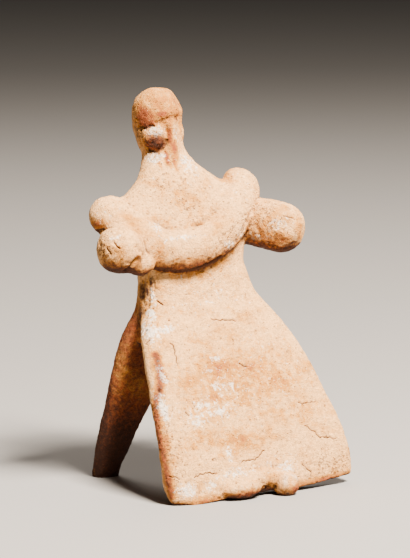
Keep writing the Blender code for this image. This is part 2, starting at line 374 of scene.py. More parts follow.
def cap():
    """The dome over the head; its rim overhangs the face, highest in front."""
    centre = Vector(CAP_CENTRE)
    rings = []
    for step in range(CAP_RIM_RINGS):
        rise = step / (CAP_RIM_RINGS - 1)
        radius = CAP_RADIUS - CAP_RIM_TUCK * (1 - rise) ** 2
        ring = rounded_ring(centre, radius, radius, 2.0)
        for point in ring:
            angle = math.atan2(point.y - centre.y, point.x) + math.pi / 2 - CAP_RIM_TURN
            droop = CAP_RIM_DROP + CAP_RIM_DROOP * (1 - math.cos(angle))
            point.z -= droop + CAP_RIM_DEPTH * (1 - rise)
        rings.append(ring)
    for step in range(CAP_DOME_RINGS):
        angle = 0.5 * math.pi * step / CAP_DOME_RINGS
        height = Vector((0.0, 0.0, CAP_RADIUS * math.sin(angle)))
        radius = CAP_RADIUS * math.cos(angle)
        rings.append(rounded_ring(centre + height, radius, radius, 2.0))
    return loft(rings)


def pellet(side):
    """One applied pellet beside the ridge of the face."""
    angle = side * PELLET_SPREAD
    x = PELLET_OUT[side] * math.sin(angle)
    y = CAP_CENTRE[1] - PELLET_OUT[side] * math.cos(angle)
    mesh = lump((0.0, 0.0, 0.0), PELLET_SIZE)
    place = Matrix.Translation((x, y, PELLET_HEIGHT)) @ Matrix.Rotation(angle, 4, "Z")
    bmesh.ops.transform(mesh, matrix=place, verts=mesh.verts)
    return mesh


def point_tree(points):
    """A search tree over the given points."""
    tree = KDTree(len(points))
    for index, point in enumerate(points):
        tree.insert(point, index)
    tree.balance()
    return tree


def ordered_copy(data):
    """A bmesh whose edges follow the faces' order, so that later sums run the same way each time."""
    mesh = bmesh.new()
    verts = [mesh.verts.new(vert.co) for vert in data.vertices]
    for polygon in data.polygons:
        mesh.faces.new([verts[index] for index in polygon.vertices])
    mesh.verts.index_update()
    return mesh


def with_modifier(mesh, kind, inputs=None, **settings):
    """A new bmesh: the given one with one modifier applied; a node tree's inputs go by their names."""
    data = bpy.data.meshes.new("clay")
    mesh.to_mesh(data)
    mesh.free()
    holder = bpy.data.objects.new("clay", data)
    bpy.context.collection.objects.link(holder)
    modifier = holder.modifiers.new("work", kind)
    for name, value in settings.items():
        setattr(modifier, name, value)
    if inputs:
        for socket in modifier.node_group.interface.items_tree:
            if socket.name in inputs:
                modifier[socket.identifier] = inputs[socket.name]
    graph = bpy.context.evaluated_depsgraph_get()
    worked = bpy.data.meshes.new_from_object(holder.evaluated_get(graph))
    result = ordered_copy(worked)
    bpy.data.objects.remove(holder, do_unlink=True)
    bpy.data.meshes.remove(data)
    bpy.data.meshes.remove(worked)
    return result


def soften(mesh, verts, passes):
    """Draw the given vertices half way towards their neighbours, time after time."""
    for _ in range(passes):
        bmesh.ops.smooth_vert(
            mesh, verts=verts, factor=0.5, use_axis_x=True, use_axis_y=True, use_axis_z=True
        )


def press_together(forms, voxel, smoothing):
    """Fuse closed forms into one skin and soften the joints between them."""
    whole = bmesh.new()
    for form in forms:
        data = bpy.data.meshes.new("form")
        form.to_mesh(data)
        form.free()
        whole.from_mesh(data)
        bpy.data.meshes.remove(data)
    whole = with_modifier(whole, "REMESH", mode="VOXEL", voxel_size=voxel)
    soften(whole, whole.verts, smoothing)
    return whole


def wipe_smooth(mesh, line, radius, passes):
    """Soften the skin near a line, as a wet thumb does."""
    tree = point_tree([vert.co for vert in mesh.verts])
    near = set()
    places = np.linspace(0.0, len(line) - 1.0, WIPE_MARKS * len(line))
    for row in along([(index, *corner) for index, corner in enumerate(line)], places):
        near.update(index for _, index, _ in tree.find_range(Vector(row), radius))
    mesh.verts.ensure_lookup_table()
    soften(mesh, [mesh.verts[index] for index in sorted(near)], passes)


def plain_skin():
    """The figurine's smooth skin, before any mark is made on it."""
    pressed_on = [lump(*ARM_FOLD), lump(*HEM_LIP)]
    limbs = [make(side) for make in (rear_leg, shoulder, arm_stub) for side in (-1, 1)]
    body = press_together([skirt_slab(), trunk()] + limbs + pressed_on, BODY_VOXEL, BODY_SMOOTHING)
    pectoral = roll_of_clay(
        ROLL_LINE, ROLL_HALF_HEIGHT, ROLL_HALF_DEPTH, ROLL_END_LENGTH, ROLL_END_SWELL, ROLL_UPPER_FEATHER
    )
    ridge = roll_of_clay(RIDGE_LINE, RIDGE_RADIUS, RIDGE_RADIUS, RIDGE_RADIUS)
    toes = [lump(*toe) for toe in TOES]
    applied = [pectoral, cap(), pellet(-1), pellet(1), ridge] + toes
    skin = press_together([body] + applied, FINISH_VOXEL, FINISH_SMOOTHING)
    for line, radius, passes in WIPED:
        wipe_smooth(skin, line, radius, passes)
    return skin


# Worked surface: finger dents, drag ripples and grain: size, height and noise detail of each.
WORKED = {
    "Dent": (13.0, 1.1, 1.0),
    "Ripple": (3.6, 0.6, 2.0),
    "Grain": (0.9, 0.3, 2.0),
}
SURFACE_SEED = 4.0

# Flats left by a finger or the bench: place, radius and depth of each.
FLATS = (
    ((-6.2, 9.8, 105.8), 2.8, 0.5),
    ((-32.4, -8.4, 77.6), 4.6, 0.5),
    ((-26.5, -10.6, 69.6), 2.6, 0.4),
    ((26.8, -12.4, 75.2), 5.0, 0.5),
    ((24.6, -11.4, 70.4), 3.6, 0.5),
    ((-24.8, -9.0, 82.0), 4.0, 0.3),
    ((6.2, 11.6, 113.8), 6.6, 0.9),
    ((1.0, 15.0, 118.0), 5.6, 0.45),
    ((17.6, -3.4, 82.4), 5.0, 0.4),
    ((7.2, -9.2, 72.4), 4.0, 0.3),
    ((5.1, -40.0, 2.4), 2.4, 0.4),
)

# Lines cut into the skin. Each kind has a half width, a depth and the corners of its lines.
# Joins left unsmoothed: under the roll, round the pellet, under the cap's rim, over the right arm and
# beside the fold under it.
JOINS = (
    0.6, 0.85, (
        (
            (-19.4, -6.8, 66.0), (-15.3, -4.9, 64.5), (-9.6, -6.6, 64.0), (-1.0, -7.4, 65.8),
            (5.0, -7.4, 68.0),
        ),
        (
            (-1.8, 7.8, 102.4), (-3.2, 8.4, 100.2), (-5.5, 9.8, 98.9), (-6.6, 11.4, 99.6),
            (-7.4, 13.2, 102.0),
        ),
        ((-7.4, 15.0, 106.4), (-7.0, 11.8, 106.5), (-5.4, 9.8, 107.3)),
        ((-30.4, 5.4, 78.3), (-30.4, 1.5, 79.4), (-29.8, -3.4, 80.2)),
        ((-29.8, -8.4, 67.4), (-28.2, -10.4, 69.6), (-26.9, -10.8, 70.9)),
    ),
)
# Softer hollows: along the cap's rim, beside the ridge, beside the left arm and pressed in it, over and
# beside the right arm, and drawn down the waist.
FURROWS = (
    0.8, 0.45, (
        ((-5.4, 9.8, 107.3), (-2.4, 8.5, 108.9), (0.6, 8.2, 109.5), (3.4, 8.8, 108.8)),
        ((-2.4, 8.6, 107.6), (-1.8, 7.9, 104.4), (-1.8, 7.8, 102.4)),
        ((6.4, -8.6, 69.4), (11.2, -7.8, 71.6), (14.6, -7.1, 74.5), (18.2, -5.4, 77.6), (21.2, -3.9, 79.8)),
        ((20.0, -5.8, 74.6), (20.9, -6.7, 71.6), (23.1, -7.8, 68.5)),
        ((22.1, -7.7, 69.9), (23.8, -8.7, 68.4), (25.8, -9.9, 67.5), (28.9, -10.9, 67.3)),
        ((-29.7, -5.4, 80.2), (-28.4, -8.7, 78.9), (-28.2, -10.0, 77.5)),
        ((-27.3, -11.0, 74.8), (-23.8, -9.6, 72.0), (-22.0, -8.8, 69.9), (-22.0, -8.6, 67.6)),
        ((-18.6, -0.2, 62.0), (-19.4, -0.9, 56.3)),
        ((-17.4, -2.4, 61.4), (-19.2, -3.8, 54.6)),
        ((-16.2, -3.4, 61.0), (-17.3, -4.2, 57.6)),
    ),
)
# Slits torn open in the clay.
SLITS = (
    0.24, 0.6, (
        ((-33.2, -8.3, 76.9), (-32.7, -9.3, 75.7), (-32.2, -10.0, 74.7)),
        ((-34.9, -6.9, 74.7), (-34.5, -7.7, 74.0), (-34.1, -8.3, 73.2)),
        ((-16.9, -5.5, 56.6), (-16.2, -6.1, 55.7), (-15.5, -6.6, 55.0)),
        ((-23.7, -7.5, 47.4), (-22.8, -8.3, 48.6)),
        ((-24.8, -10.1, 44.8), (-23.8, -10.7, 46.0)),
        ((27.8, -11.9, 77.0), (29.2, -12.4, 76.5)),
    ),
)
# Drying cracks, thin and shallow.
CRACKS = (
    0.2, 0.4, (
        ((-1.2, -10.9, 49.2), (2.6, -11.5, 48.4), (4.8, -11.7, 48.2), (7.2, -12.0, 47.6)),
        ((18.5, -26.7, 22.6), (19.8, -27.0, 22.0), (21.8, -26.8, 22.1), (25.3, -26.6, 22.0)),
        (
            (18.1, -30.0, 16.2), (21.3, -31.1, 13.4), (22.3, -31.6, 11.9), (26.1, -31.6, 11.3),
            (28.5, -31.8, 10.3),
        ),
        ((-7.6, -33.1, 9.6), (-2.6, -33.2, 9.4), (-0.9, -32.9, 10.2), (1.4, -32.4, 11.5)),
        ((-32.4, -31.5, 8.9), (-30.8, -32.2, 8.5), (-29.9, -32.6, 7.8)),
        ((-24.8, -33.2, 7.5), (-22.9, -33.1, 8.1), (-20.1, -33.2, 8.2), (-17.5, -33.6, 7.5)),
        ((13.8, -34.1, 5.4), (15.0, -34.6, 3.8), (16.2, -34.8, 2.7), (16.2, -35.2, 1.0)),
        ((-18.4, -13.4, 44.7), (-17.5, -14.2, 43.7), (-18.1, -15.8, 41.3), (-18.6, -17.5, 38.8)),
        ((-21.4, -24.9, 25.7), (-20.5, -25.7, 24.4)),
        ((26.8, -11.4, 77.4), (29.2, -12.4, 76.5), (30.2, -12.5, 76.2)),
        ((2.4, -19.6, 36.1), (4.4, -20.3, 34.8)),
    ),
)
# Steps along a line, how far it wanders from straight and how fast it turns, and how dark it is.
STROKE_STEP = 0.12
STROKE_WANDER = 0.14
STROKE_TURNS = (3.3, 2.7, 3.9)
STROKE_DARKNESS = 0.5

# Pits where grit fell out: place and radius.
PITS = (
    ((-17.2, -32.1, 11.5), 0.42),
    ((-16.7, -31.6, 12.9), 0.24),
    ((-12.1, -36.2, 3.8), 0.4),
    ((-27.3, -20.4, 32.5), 0.62),
    ((2.4, -19.6, 36.1), 0.36),
    ((-15.4, -9.4, 50.8), 0.4),
    ((28.2, -27.3, 20.1), 0.34),
    ((-17.2, -33.7, 7.5), 0.34),
    ((-32.0, -5.1, 79.4), 0.4),
    ((-35.0, -3.4, 75.8), 0.7),
    ((-35.3, -5.8, 73.7), 0.4),
    ((-2.5, 8.5, 109.0), 0.4),
    ((2.8, 9.3, 108.4), 0.36),
    ((-7.2, 14.1, 105.6), 0.6),
    ((-3.2, -36.6, 1.1), 0.6),
    ((-0.6, -35.9, 0.8), 0.9),
    ((1.1, -36.7, 0.9), 0.6),
)

# Rough places: middle, half sizes and how thickly they are pitted, on top of a thin scatter all over.
ROUGH = (
    ((-5.4, 9.4, 102.6), (2.8, 2.4, 3.4), 3.0),
    ((-5.0, 2.0, 90.0), (7.0, 5.0, 4.0), 0.9),
    ((-1.0, -2.0, 83.6), (8.0, 5.0, 5.0), 0.6),
    ((8.0, -9.0, 71.6), (4.0, 3.0, 3.0), 1.8),
    ((13.4, -7.6, 73.6), (3.4, 3.0, 3.6), 1.8),
    ((21.4, -5.8, 76.0), (4.4, 4.0, 5.4), 1.8),
    ((24.6, -10.6, 70.6), (4.6, 3.0, 2.6), 1.4),
    ((-34.6, -5.6, 74.2), (2.4, 3.0, 2.6), 1.8),
    ((-18.0, -3.0, 59.0), (2.6, 3.0, 4.0), 1.6),
    ((-30.0, -26.0, 18.0), (2.2, 8.0, 14.0), 1.6),
    ((28.0, -34.0, 3.4), (8.0, 3.0, 3.4), 1.6),
    ((-0.6, -36.2, 1.2), (4.0, 2.0, 1.6), 2.4),
    ((-10.0, -36.0, 0.8), (8.0, 2.4, 1.2), 1.4),
)
# How deep, wide and dark a pit is for its radius; then the scattered pits.
PIT_DEPTH = 1.2
PIT_REACH = 2.2
PIT_DARKNESS = 2.4
PIT_COUNT = 1500
PIT_BASE = 0.22
PIT_RADII = (0.16, 0.34)
PIT_SEED = 11

# Where lines and pits are cut, the skin is meshed finer: how far around them, and down to which edge.
FINE_REACH = 0.9
FINE_EDGES = (0.42, 0.24)

# Stains and crust: middle, half sizes and strength of each soft-edged patch.
CRUST = (
    ((-5.6, 9.4, 97.2), (3.6, 3.0, 1.9), 0.9),
    ((-5.2, 9.6, 105.6), (2.8, 2.4, 1.8), 0.9),
    ((1.6, 7.8, 104.6), (1.4, 2.0, 4.6), 0.5),
    ((4.0, 5.0, 95.0), (3.4, 4.0, 3.6), 0.8),
    ((-15.4, -5.4, 79.4), (2.2, 3.0, 3.4), 0.7),
    ((-9.0, -8.6, 75.0), (6.0, 2.0, 0.9), 0.7),
    ((-32.0, -8.0, 78.0), (2.0, 2.4, 1.2), 0.7),
    ((25.0, -11.2, 75.6), (3.4, 2.6, 2.4), 0.66),
    ((22.0, -8.0, 70.6), (1.6, 2.0, 1.6), 0.6),
    ((8.0, -8.6, 71.0), (3.4, 2.0, 1.6), 0.7),
    ((13.4, -7.4, 72.6), (3.0, 2.4, 2.4), 0.7),
    ((19.6, -5.4, 70.6), (2.4, 2.4, 2.4), 0.7),
    ((-8.0, -6.4, 62.4), (1.6, 1.4, 1.2), 0.8),
    ((-22.4, -8.8, 48.0), (2.4, 4.0, 3.6), 1.1),
    ((-18.0, -10.8, 48.4), (3.6, 2.4, 1.4), 1.0),
    ((-24.6, -18.6, 36.4), (1.3, 3.2, 4.0), 0.95),
    ((-28.0, -22.8, 28.0), (1.6, 3.6, 6.0), 0.95),
    ((-5.1, -17.9, 38.7), (2.0, 2.0, 0.9), 0.8),
    ((-9.0, -19.8, 35.6), (2.4, 2.0, 0.8), 0.8),
    ((-8.5, -22.3, 31.2), (1.6, 2.0, 1.2), 0.9),
    ((-3.0, -22.7, 30.7), (1.4, 2.0, 2.0), 0.8),
    ((-15.1, -24.6, 26.8), (2.6, 2.0, 1.8), 0.85),
    ((-9.3, -26.1, 24.2), (3.0, 2.0, 1.3), 0.85),
    ((-18.4, -26.7, 22.7), (3.0, 2.0, 2.0), 0.85),
    ((-11.1, -31.9, 12.3), (1.2, 2.0, 2.6), 0.8),
    ((7.2, -34.7, 5.7), (4.0, 2.0, 2.4), 0.8),
    ((-11.0, -34.4, 6.6), (6.0, 2.0, 1.6), 0.8),
    ((-28.0, -34.2, 4.2), (3.4, 2.4, 2.0), 1.0),
    ((-19.7, -34.6, 4.4), (2.6, 2.0, 1.4), 0.9),
    ((-13.0, -26.0, 25.6), (10.0, 3.0, 4.6), 0.6),
    ((-4.0, -23.0, 30.0), (5.0, 3.0, 3.6), 0.5),
    ((-6.0, -34.0, 7.4), (16.0, 3.0, 3.0), 0.46),
    ((4.0, -22.0, 32.0), (24.0, 8.0, 18.0), 0.26),
    ((-17.8, -4.4, 58.6), (0.8, 1.4, 4.6), 1.15),
    ((-19.8, -6.4, 52.0), (1.1, 1.8, 4.0), 1.15),
    ((0.0, -8.0, 56.0), (16.0, 5.0, 8.0), 0.32),
    ((2.0, 5.0, 90.0), (12.0, 6.0, 6.0), 0.32),
    ((18.0, 2.0, 86.0), (9.0, 8.0, 6.0), 0.28),
    ((-28.0, 4.0, 84.0), (6.0, 6.0, 4.0), 0.3),
)
RUST_AND_SHADE = (
    ((0.0, 14.0, 111.4), (9.0, 9.0, 6.4), 1.02),
    ((-6.8, 12.6, 110.0), (3.6, 4.0, 4.0), 1.25),
    ((-6.4, 12.0, 107.8), (3.8, 3.4, 1.6), 1.4),
    ((-2.8, 8.7, 110.6), (2.6, 1.8, 1.0), 1.35),
    ((-5.2, 9.4, 102.0), (3.4, 2.8, 2.9), 1.5),
    ((-1.0, 7.4, 104.0), (0.9, 2.0, 5.0), 1.1),
    ((-0.2, 6.6, 99.6), (1.3, 2.0, 3.0), 1.15),
    ((-1.6, 6.4, 96.6), (2.6, 2.4, 2.6), 0.6),
    ((-2.8, 7.0, 97.2), (0.7, 2.4, 2.4), 1.4),
    ((-5.5, 6.7, 95.3), (0.5, 2.4, 2.2), 0.9),
    ((-1.0, 5.4, 95.8), (0.6, 2.4, 3.6), 1.1),
    ((-10.8, 9.0, 92.6), (1.0, 2.4, 3.6), 0.45),
    ((-31.0, 4.0, 80.6), (1.8, 3.0, 1.6), 1.1),
    # Next four: rust with painted shade under the roll's right end, under both arms' round ends and along
    # the roll's underside.
    ((-17.4, -8.4, 71.0), (2.6, 2.6, 5.0), 0.7),
    ((-32.0, -7.4, 70.0), (6.0, 4.0, 3.2), 0.8),
    ((-6.0, -9.0, 66.0), (13.0, 2.4, 2.0), 1.0),
    ((25.2, -11.6, 70.0), (4.6, 2.4, 2.2), 0.85),
    ((24.0, -7.0, 74.0), (7.0, 6.0, 7.0), 0.5),
    ((31.8, -11.6, 72.0), (1.8, 4.0, 5.4), 0.75),
    ((-5.3, -19.6, 36.0), (8.0, 3.0, 7.0), 0.8),
    ((4.4, -20.3, 34.0), (8.0, 2.4, 6.0), 0.78),
    ((13.4, -23.2, 29.4), (6.0, 2.4, 7.0), 0.8),
    ((-9.8, -23.9, 28.3), (4.6, 2.0, 1.8), 0.75),
    ((-16.9, -21.0, 33.3), (3.6, 2.0, 2.6), 0.7),
    ((-6.3, -30.5, 15.6), (8.0, 2.4, 3.6), 0.74),
    ((-18.8, -29.4, 17.4), (6.0, 2.4, 3.4), 0.56),
    ((17.8, -28.1, 20.0), (6.0, 2.4, 5.0), 0.5),
    ((-10.0, -14.0, 44.4), (2.6, 2.4, 2.4), 0.45),
    ((1.0, -22.0, 31.0), (20.0, 6.0, 13.0), 0.62),
    ((-3.0, -2.0, 86.4), (6.0, 4.0, 5.0), 0.5),
    ((-30.6, -27.1, 18.4), (1.6, 3.0, 3.4), 0.9),
    ((6.6, -40.4, 0.0), (2.8, 2.4, 1.8), 1.2),
    ((-9.6, -37.4, 0.6), (7.0, 3.0, 1.6), 1.25),
    ((-22.0, -35.2, 0.4), (8.0, 2.6, 1.2), 0.9),
    ((20.0, -34.8, -0.6), (14.0, 2.6, 1.3), 1.0),
    ((34.0, -32.0, 4.0), (1.2, 4.0, 4.0), 0.8),
    # These four: painted shade over the back and down the rear legs, darkest on the right leg and the side
    # of the waist above it.
    ((0.0, 13.0, 20.0), (40.0, 8.0, 34.0), 0.6),
    ((-21.0, 11.0, 18.0), (13.0, 10.0, 34.0), 1.3),
    ((-19.5, 4.5, 42.0), (6.0, 9.0, 14.0), 1.3),
    ((22.0, 12.0, 12.0), (13.0, 11.0, 32.0), 1.15),
)
SOOT_AND_SHADE = (
    # Darker over the lower half of the right pellet.
    ((-5.2, 9.4, 101.8), (3.4, 2.8, 2.6), 1.08),
    ((-4.8, 9.2, 105.4), (2.6, 2.4, 1.6), 0.42),
    # These two: painted shade under the cap's rim and down the side of the head below it.
    ((-6.8, 12.4, 107.2), (2.6, 3.4, 0.8), 0.75),
    ((-7.6, 15.4, 105.0), (0.9, 2.4, 3.0), 0.7),
    ((2.8, 9.3, 108.5), (0.4, 0.8, 0.8), 1.0),
    ((-18.8, -0.4, 60.0), (0.9, 1.8, 5.0), 1.0),
    ((-18.3, -2.2, 58.8), (0.5, 1.0, 5.4), 1.05),
    ((-17.2, -3.0, 61.4), (0.4, 1.0, 3.4), 1.0),
    ((-16.3, -3.5, 61.8), (0.35, 1.0, 2.4), 0.8),
    # Painted shadow down the right side of the waist, below the arm.
    ((-20.6, -1.0, 51.6), (1.8, 3.0, 4.6), 0.9),
    ((-0.6, -36.2, 0.6), (2.8, 1.4, 1.0), 1.1),
    ((-27.3, -20.4, 32.5), (0.7, 0.8, 0.7), 1.2),
    ((-34.8, -4.6, 74.6), (2.0, 2.6, 2.0), 0.6),
    # Painted shade under the right arm's round end.
    ((-33.6, -7.4, 69.4), (5.0, 4.0, 2.6), 0.72),
    # These three: painted shade down the rear legs, darkest on the right leg.
    ((-22.0, 14.0, 4.0), (14.0, 10.0, 30.0), 1.2),
    ((-19.5, 5.0, 38.0), (7.0, 9.0, 16.0), 0.66),
    ((23.0, 15.0, 2.0), (13.0, 11.0, 28.0), 0.95),
    ((-1.5, -2.0, 84.5), (6.5, 4.0, 4.5), 0.34),
)
# Brown along the slab's right edge, from the waist to the hem: its line, half width and strengths.
EDGE_LINE = (
    (-24.2, -14.4, 42.0),
    (-25.4, -18.0, 36.6),
    (-27.3, -20.4, 32.5),
    (-29.8, -21.6, 28.0),
    (-31.7, -25.9, 19.0),
    (-32.4, -28.9, 14.0),
    (-33.0, -31.2, 8.5),
    (-33.2, -32.6, 3.0),
)
EDGE_HALF_WIDTH = 1.5
EDGE_RUST = 1.15
EDGE_SOOT = 0.6
# Patches along the worn edge, for each corner of its line.
SMEAR_MARKS = 8

# How softly every patch fades out.
PATCH_SOFTNESS = 1.6

# Painted shade darkens the hollows and a painted highlight lightens the rims: over how far each is judged,
# and how strongly.
FINE_CREVICE_SHADE = (14, 2.4)
BROAD_CREVICE_SHADE = (120, 0.5)
RIM_HIGHLIGHT = (30, -0.6)

# Painted shade: faces that point down and the broad hollows are darkened through the rust and soot stains.
UNDERSIDE_SHADE_RUST = 1.35
UNDERSIDE_SHADE_SOOT = 1.3
BROAD_SHADE_SOOT = 0.45

# Camera, fitted to the photograph; distances and the point it looks at are in metres.
CAMERA_AZIMUTH = math.radians(-34)
CAMERA_ELEVATION = math.radians(8)
CAMERA_DISTANCE = 1.0417
CAMERA_TARGET = (0.00843, 0.0152, 0.06026)
CAMERA_LENS = 217.7
CAMERA_SENSOR = 36.0
CAMERA_NEAR = 0.01

# Lights: azimuth, elevation, distance, width in metres, power in watts and colour.
KEY_LIGHT = (math.radians(4), math.radians(56), 0.9, 0.26, 66.0, "#FFF4E8")
FILL_LIGHT = (math.radians(60), math.radians(20), 1.1, 0.6, 2.0, "#FFF4E8")
RIM_LIGHT = (math.radians(150), math.radians(50), 1.0, 0.5, 8.0, "#FFF7EE")
ROOM_LIGHT = 0.02
ROOM_COLOUR = "#F2F1EE"
FLOOR_RADIUS = 6.0
FLOOR_SIDES = 96
FLOOR_ROUGHNESS = 0.9
FLOOR_COLOUR = "#8F8B86"


def linear(colour):
    """An sRGB hex colour as linear red, green, blue and a full alpha."""
    parts = [int(colour[start:start + 2], 16) / 255 for start in (1, 3, 5)]
    return (*[part / 12.92 if part <= 0.04045 else ((part + 0.055) / 1.055) ** 2.4 for part in parts], 1.0)


def add(tree, kind, sockets=None, **settings):
    """One more node in a tree; each socket, by name or place, takes a value or another node's output."""
    node = tree.nodes.new(kind)
    for name, value in settings.items():
        setattr(node, name, value)
    for name, value in (sockets or {}).items():
        if isinstance(value, bpy.types.NodeSocket):
            tree.links.new(value, node.inputs[name])
        else:
            node.inputs[name].default_value = value
    return node


def worked_clay_nodes(material):
    """Geometry nodes that roughen a smooth skin: broad dents, finer ripples and grain, along its normal."""
    tree = bpy.data.node_groups.new("worked_clay", "GeometryNodeTree")
    tree.interface.new_socket("Geometry", in_out="INPUT", socket_type="NodeSocketGeometry")
    labels = [kind + part for kind in WORKED for part in (" Size", " Height")]
    for label in (*labels, "Seed"):
        tree.interface.new_socket(label, in_out="INPUT", socket_type="NodeSocketFloat")
    tree.interface.new_socket("Geometry", in_out="OUTPUT", socket_type="NodeSocketGeometry")
    given = add(tree, "NodeGroupInput").outputs
    total = None
    for label, (_, _, detail) in WORKED.items():
        rate = add(tree, "ShaderNodeMath", {0: 1.0, 1: given[label + " Size"]}, operation="DIVIDE")
        pattern = add(
            tree, "ShaderNodeTexNoise",
            {"W": given["Seed"], "Scale": rate.outputs[0], "Detail": detail, "Roughness": 0.5},
            noise_dimensions="4D",
        )
        level = add(tree, "ShaderNodeMath", {0: pattern.outputs[0], 1: 0.5}, operation="SUBTRACT")
        sockets = {0: level.outputs[0], 1: given[label + " Height"]}
        height = add(tree, "ShaderNodeMath", sockets, operation="MULTIPLY").outputs[0]
        if total is None:
            total = height
        else:
            total = add(tree, "ShaderNodeMath", {0: total, 1: height}, operation="ADD").outputs[0]
    normal = add(tree, "GeometryNodeInputNormal").outputs[0]
    offset = add(tree, "ShaderNodeVectorMath", {0: normal, "Scale": total}, operation="SCALE").outputs[0]
    moved = add(tree, "GeometryNodeSetPosition", {"Geometry": given["Geometry"], "Offset": offset})
    real = add(tree, "GeometryNodeRealizeInstances", {"Geometry": moved.outputs[0]})
    coloured = add(tree, "GeometryNodeSetMaterial", {"Geometry": real.outputs[0], "Material": material})
    add(tree, "NodeGroupOutput", {"Geometry": coloured.outputs[0]})
    return tree


def roughened(mesh, material):
    """The skin with the marks that hands and grit leave all over it."""
    wanted = {"Seed": SURFACE_SEED}
    for label, (size, height, _) in WORKED.items():
        wanted[label + " Size"] = size
        wanted[label + " Height"] = height
    return with_modifier(mesh, "NODES", wanted, node_group=worked_clay_nodes(material))


def stroke(skin_tree, corners):
    """Points close together on the skin, on a slightly wandering line through the given corners."""
    points = []
    aside, rise, slant = STROKE_TURNS
    for start, end in zip(corners, corners[1:]):
        start, end = Vector(start), Vector(end)
        for share in np.arange(0.0, 1.0, STROKE_STEP / (end - start).length):
            point = start.lerp(end, share)
            turns = (aside * point.z, rise * point.x, slant * point.x + point.z)
            drift = Vector([math.sin(turn) for turn in turns])
            points.append(skin_tree.find_nearest(point + drift * STROKE_WANDER)[0])
    return points


def scattered_pits(mesh):
    """Small pits by chance, thicker in the rough places: the place and radius of each."""
    chance = np.random.default_rng(PIT_SEED)
    places = np.array([vert.co for vert in mesh.verts])
    weight = PIT_BASE + patchiness(places, ROUGH)
    chosen = chance.choice(len(places), PIT_COUNT, replace=False, p=weight / weight.sum())
    radii = PIT_RADII[0] + (PIT_RADII[1] - PIT_RADII[0]) * chance.random(PIT_COUNT) ** 2
    return [(Vector(places[index]), radius) for index, radius in zip(chosen, radii)]


def meshed_finer(mesh, tree):
    """Split the long edges close to the tree's points, so that narrow marks keep their shape."""
    for longest in FINE_EDGES:
        near = {vert for vert in mesh.verts if tree.find(vert.co)[2] < FINE_REACH}
        long_edges = [
            edge for edge in mesh.edges
            if edge.calc_length() > longest and edge.verts[0] in near and edge.verts[1] in near
        ]
        bmesh.ops.subdivide_edges(mesh, edges=long_edges, cuts=1)
        bmesh.ops.triangulate(mesh, faces=[face for face in mesh.faces if len(face.verts) > 3])


def press_flats(mesh, skin_tree):
    """Press the finger flats: skin above each flat's plane comes down to it, less so at its edge."""
    verts = point_tree([vert.co for vert in mesh.verts])
    mesh.verts.ensure_lookup_table()
    for place, radius, depth in FLATS:
        middle, facing = skin_tree.find_nearest(Vector(place))[:2]
        for _, index, distance in verts.find_range(middle, radius):
            vert = mesh.verts[index]
            above = (vert.co - middle).dot(facing) + depth
            if above > 0:
                vert.co -= facing * above * (1 - (distance / radius) ** 4)


def mark(mesh):
    """Press the flats and cut the lines and pits; each vertex keeps how much of a mark it lies in."""
    mesh.normal_update()
    skin_tree = BVHTree.FromBMesh(mesh)
    press_flats(mesh, skin_tree)
    skin_tree = BVHTree.FromBMesh(mesh)
    kinds = [
        (radius, depth, [point for corners in lines for point in stroke(skin_tree, corners)])
        for radius, depth, lines in (JOINS, FURROWS, SLITS, CRACKS)
    ]
    pits = [(skin_tree.find_nearest(Vector(place))[0], radius) for place, radius in PITS]
    pits += scattered_pits(mesh)
    lines = [point for radius, depth, points in kinds[1:] for point in points]
    meshed_finer(mesh, point_tree(kinds[0][2] + lines + [place for place, radius in pits[:len(PITS)]]))
    mesh.normal_update()
    cut = np.zeros(len(mesh.verts))
    dark = np.zeros(len(mesh.verts))
    for radius, depth, points in kinds:
        tree = point_tree(points)
        for index, vert in enumerate(mesh.verts):
            share = math.exp(-(tree.find(vert.co)[2] / radius) ** 2)
            cut[index] = max(cut[index], depth * share)
            dark[index] = max(dark[index], share * min(1.0, STROKE_DARKNESS * depth / radius))
    verts = point_tree([vert.co for vert in mesh.verts])
    for place, radius in pits:
        for _, index, distance in verts.find_range(place, PIT_REACH * radius):
            share = math.exp(-(distance / radius) ** 2)
            cut[index] = max(cut[index], PIT_DEPTH * radius * share)
            dark[index] = max(dark[index], share * min(1.0, PIT_DARKNESS * radius))
    normals = [vert.normal.copy() for vert in mesh.verts]
    layer = mesh.verts.layers.float.new("dark")
    for vert, normal, depth, darkness in zip(mesh.verts, normals, cut, dark):
        vert.co -= normal * depth
        vert[layer] = darkness


def hollowness(mesh, passes, gain):
    """How far each vertex lies below the skin around it, as a share; a negative gain gives the rims."""
    mesh.normal_update()
    places = np.array([vert.co for vert in mesh.verts])
    normals = np.array([vert.normal for vert in mesh.verts])
    ends = np.array([[vert.index for vert in edge.verts] for edge in mesh.edges])
    count = np.bincount(ends.ravel(), minlength=len(places))[:, None]
    smooth = places.copy()
    for _ in range(passes):
        total = np.empty_like(smooth)
        for axis in range(3):
            total[:, axis] = np.bincount(ends[:, 0], smooth[ends[:, 1], axis], len(places))
            total[:, axis] += np.bincount(ends[:, 1], smooth[ends[:, 0], axis], len(places))
        smooth = total / count
    return np.clip(gain * np.einsum("ij,ij->i", smooth - places, normals), 0.0, 1.0)


def patchiness(places, patches):
    """The strongest of the soft-edged patches at each place."""
    strongest = np.zeros(len(places))
    for middle, half_sizes, strength in patches:
        away = np.sum(((places - middle) / half_sizes) ** 2, axis=1)
        strongest = np.maximum(strongest, strength * np.exp(-away / PATCH_SOFTNESS))
    return strongest


def smear(line, half_width, strength):
    """A soft-edged line as a row of patches."""
    marks = np.arange(len(line), dtype=float)
    places = along(np.column_stack((marks, line)), np.linspace(0.0, marks[-1], SMEAR_MARKS * len(line)))
    return [(place, [half_width] * 3, strength) for place in places]


